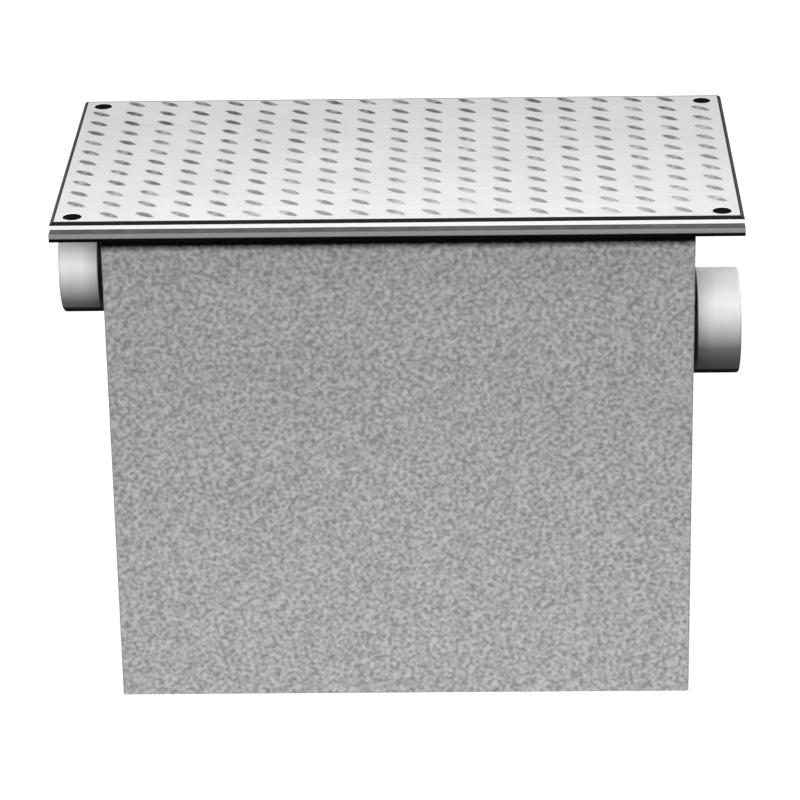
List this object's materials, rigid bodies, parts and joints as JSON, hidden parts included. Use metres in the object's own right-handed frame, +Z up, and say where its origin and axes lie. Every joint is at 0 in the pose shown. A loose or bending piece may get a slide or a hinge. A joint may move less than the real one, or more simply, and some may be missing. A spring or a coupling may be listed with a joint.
{
  "type": "oil separator",
  "caption": "Rectangular welded steel oil separator with a screwed tread-plate cover, a coupling at each end, and a bucket, baffles, trap and adjustable oil draw-off inside.",
  "frame": {"origin": "on the floor under the middle of the tank", "axes": "+X from the inlet to the outlet, +Y towards the back wall, +Z up"},
  "size_m": [0.679, 0.368, 0.5288],
  "materials": {
    "tank_paint": "speckled grey enamel",
    "cover_steel": "pale bead-blasted tread plate",
    "port_steel": "pale satin machined steel",
    "gasket_rubber": "matt black sheet rubber",
    "screw_black": "black oxide",
    "inner_steel": "zinc-coated sheet",
    "fitting_iron": "dark malleable iron",
    "bronze": "machined bronze"
  },
  "bodies": {
    "tank": {"back_baffle_guide": "tank_paint", "back_baffle_ledge": "tank_paint", "back_bucket_rail": "tank_paint", "back_rim_bar": "tank_paint", "back_wall": "tank_paint", "cleanout_ferrule": "port_steel", "cleanout_plug": "bronze", "cover_gasket": "gasket_rubber", "diffuser_baffle": "inner_steel", "draw_off_coupling": "port_steel", "draw_off_elbow": "fitting_iron", "draw_off_gland_nut": "bronze", "draw_off_packing": "gasket_rubber", "draw_off_riser": "fitting_iron", "floor_plate": "tank_paint", "front_baffle_guide": "tank_paint", "front_baffle_ledge": "tank_paint", "front_bucket_rail": "tank_paint", "front_rim_bar": "tank_paint", "front_wall": "tank_paint", "horizontal_baffle": "inner_steel", "inlet_coupling": "port_steel", "inlet_end_plate": "tank_paint", "inlet_rim_bar": "tank_paint", "outlet_coupling": "port_steel", "outlet_end_plate": "tank_paint", "outlet_rim_bar": "tank_paint", "sediment_bucket": "inner_steel", "trap_hood": "tank_paint", "trap_weir_plate": "tank_paint", "vent_coupling": "port_steel"},
    "cover": {"cover_plate": "cover_steel", "cover_screws": "screw_black"},
    "sleeve": {"draw_off_sleeve": "bronze"},
    "bail": {"bucket_bail": "inner_steel"}
  },
  "joints": [
    {"name": "cover_lift", "type": "slide", "parent": "tank", "child": "cover", "axis": [0, 0, 1], "range_m": [0, 0.3]},
    {"name": "draw_off_adjust", "type": "slide", "parent": "tank", "child": "sleeve", "axis": [0, 0, 1], "range_m": [-0.02, 0.02]},
    {"name": "bail_swing", "type": "hinge", "parent": "tank", "child": "bail", "pos_m": [-0.2112, 0, 0.3549], "axis": [-1, 0, 0], "range_deg": [0, 180]}
  ]
}
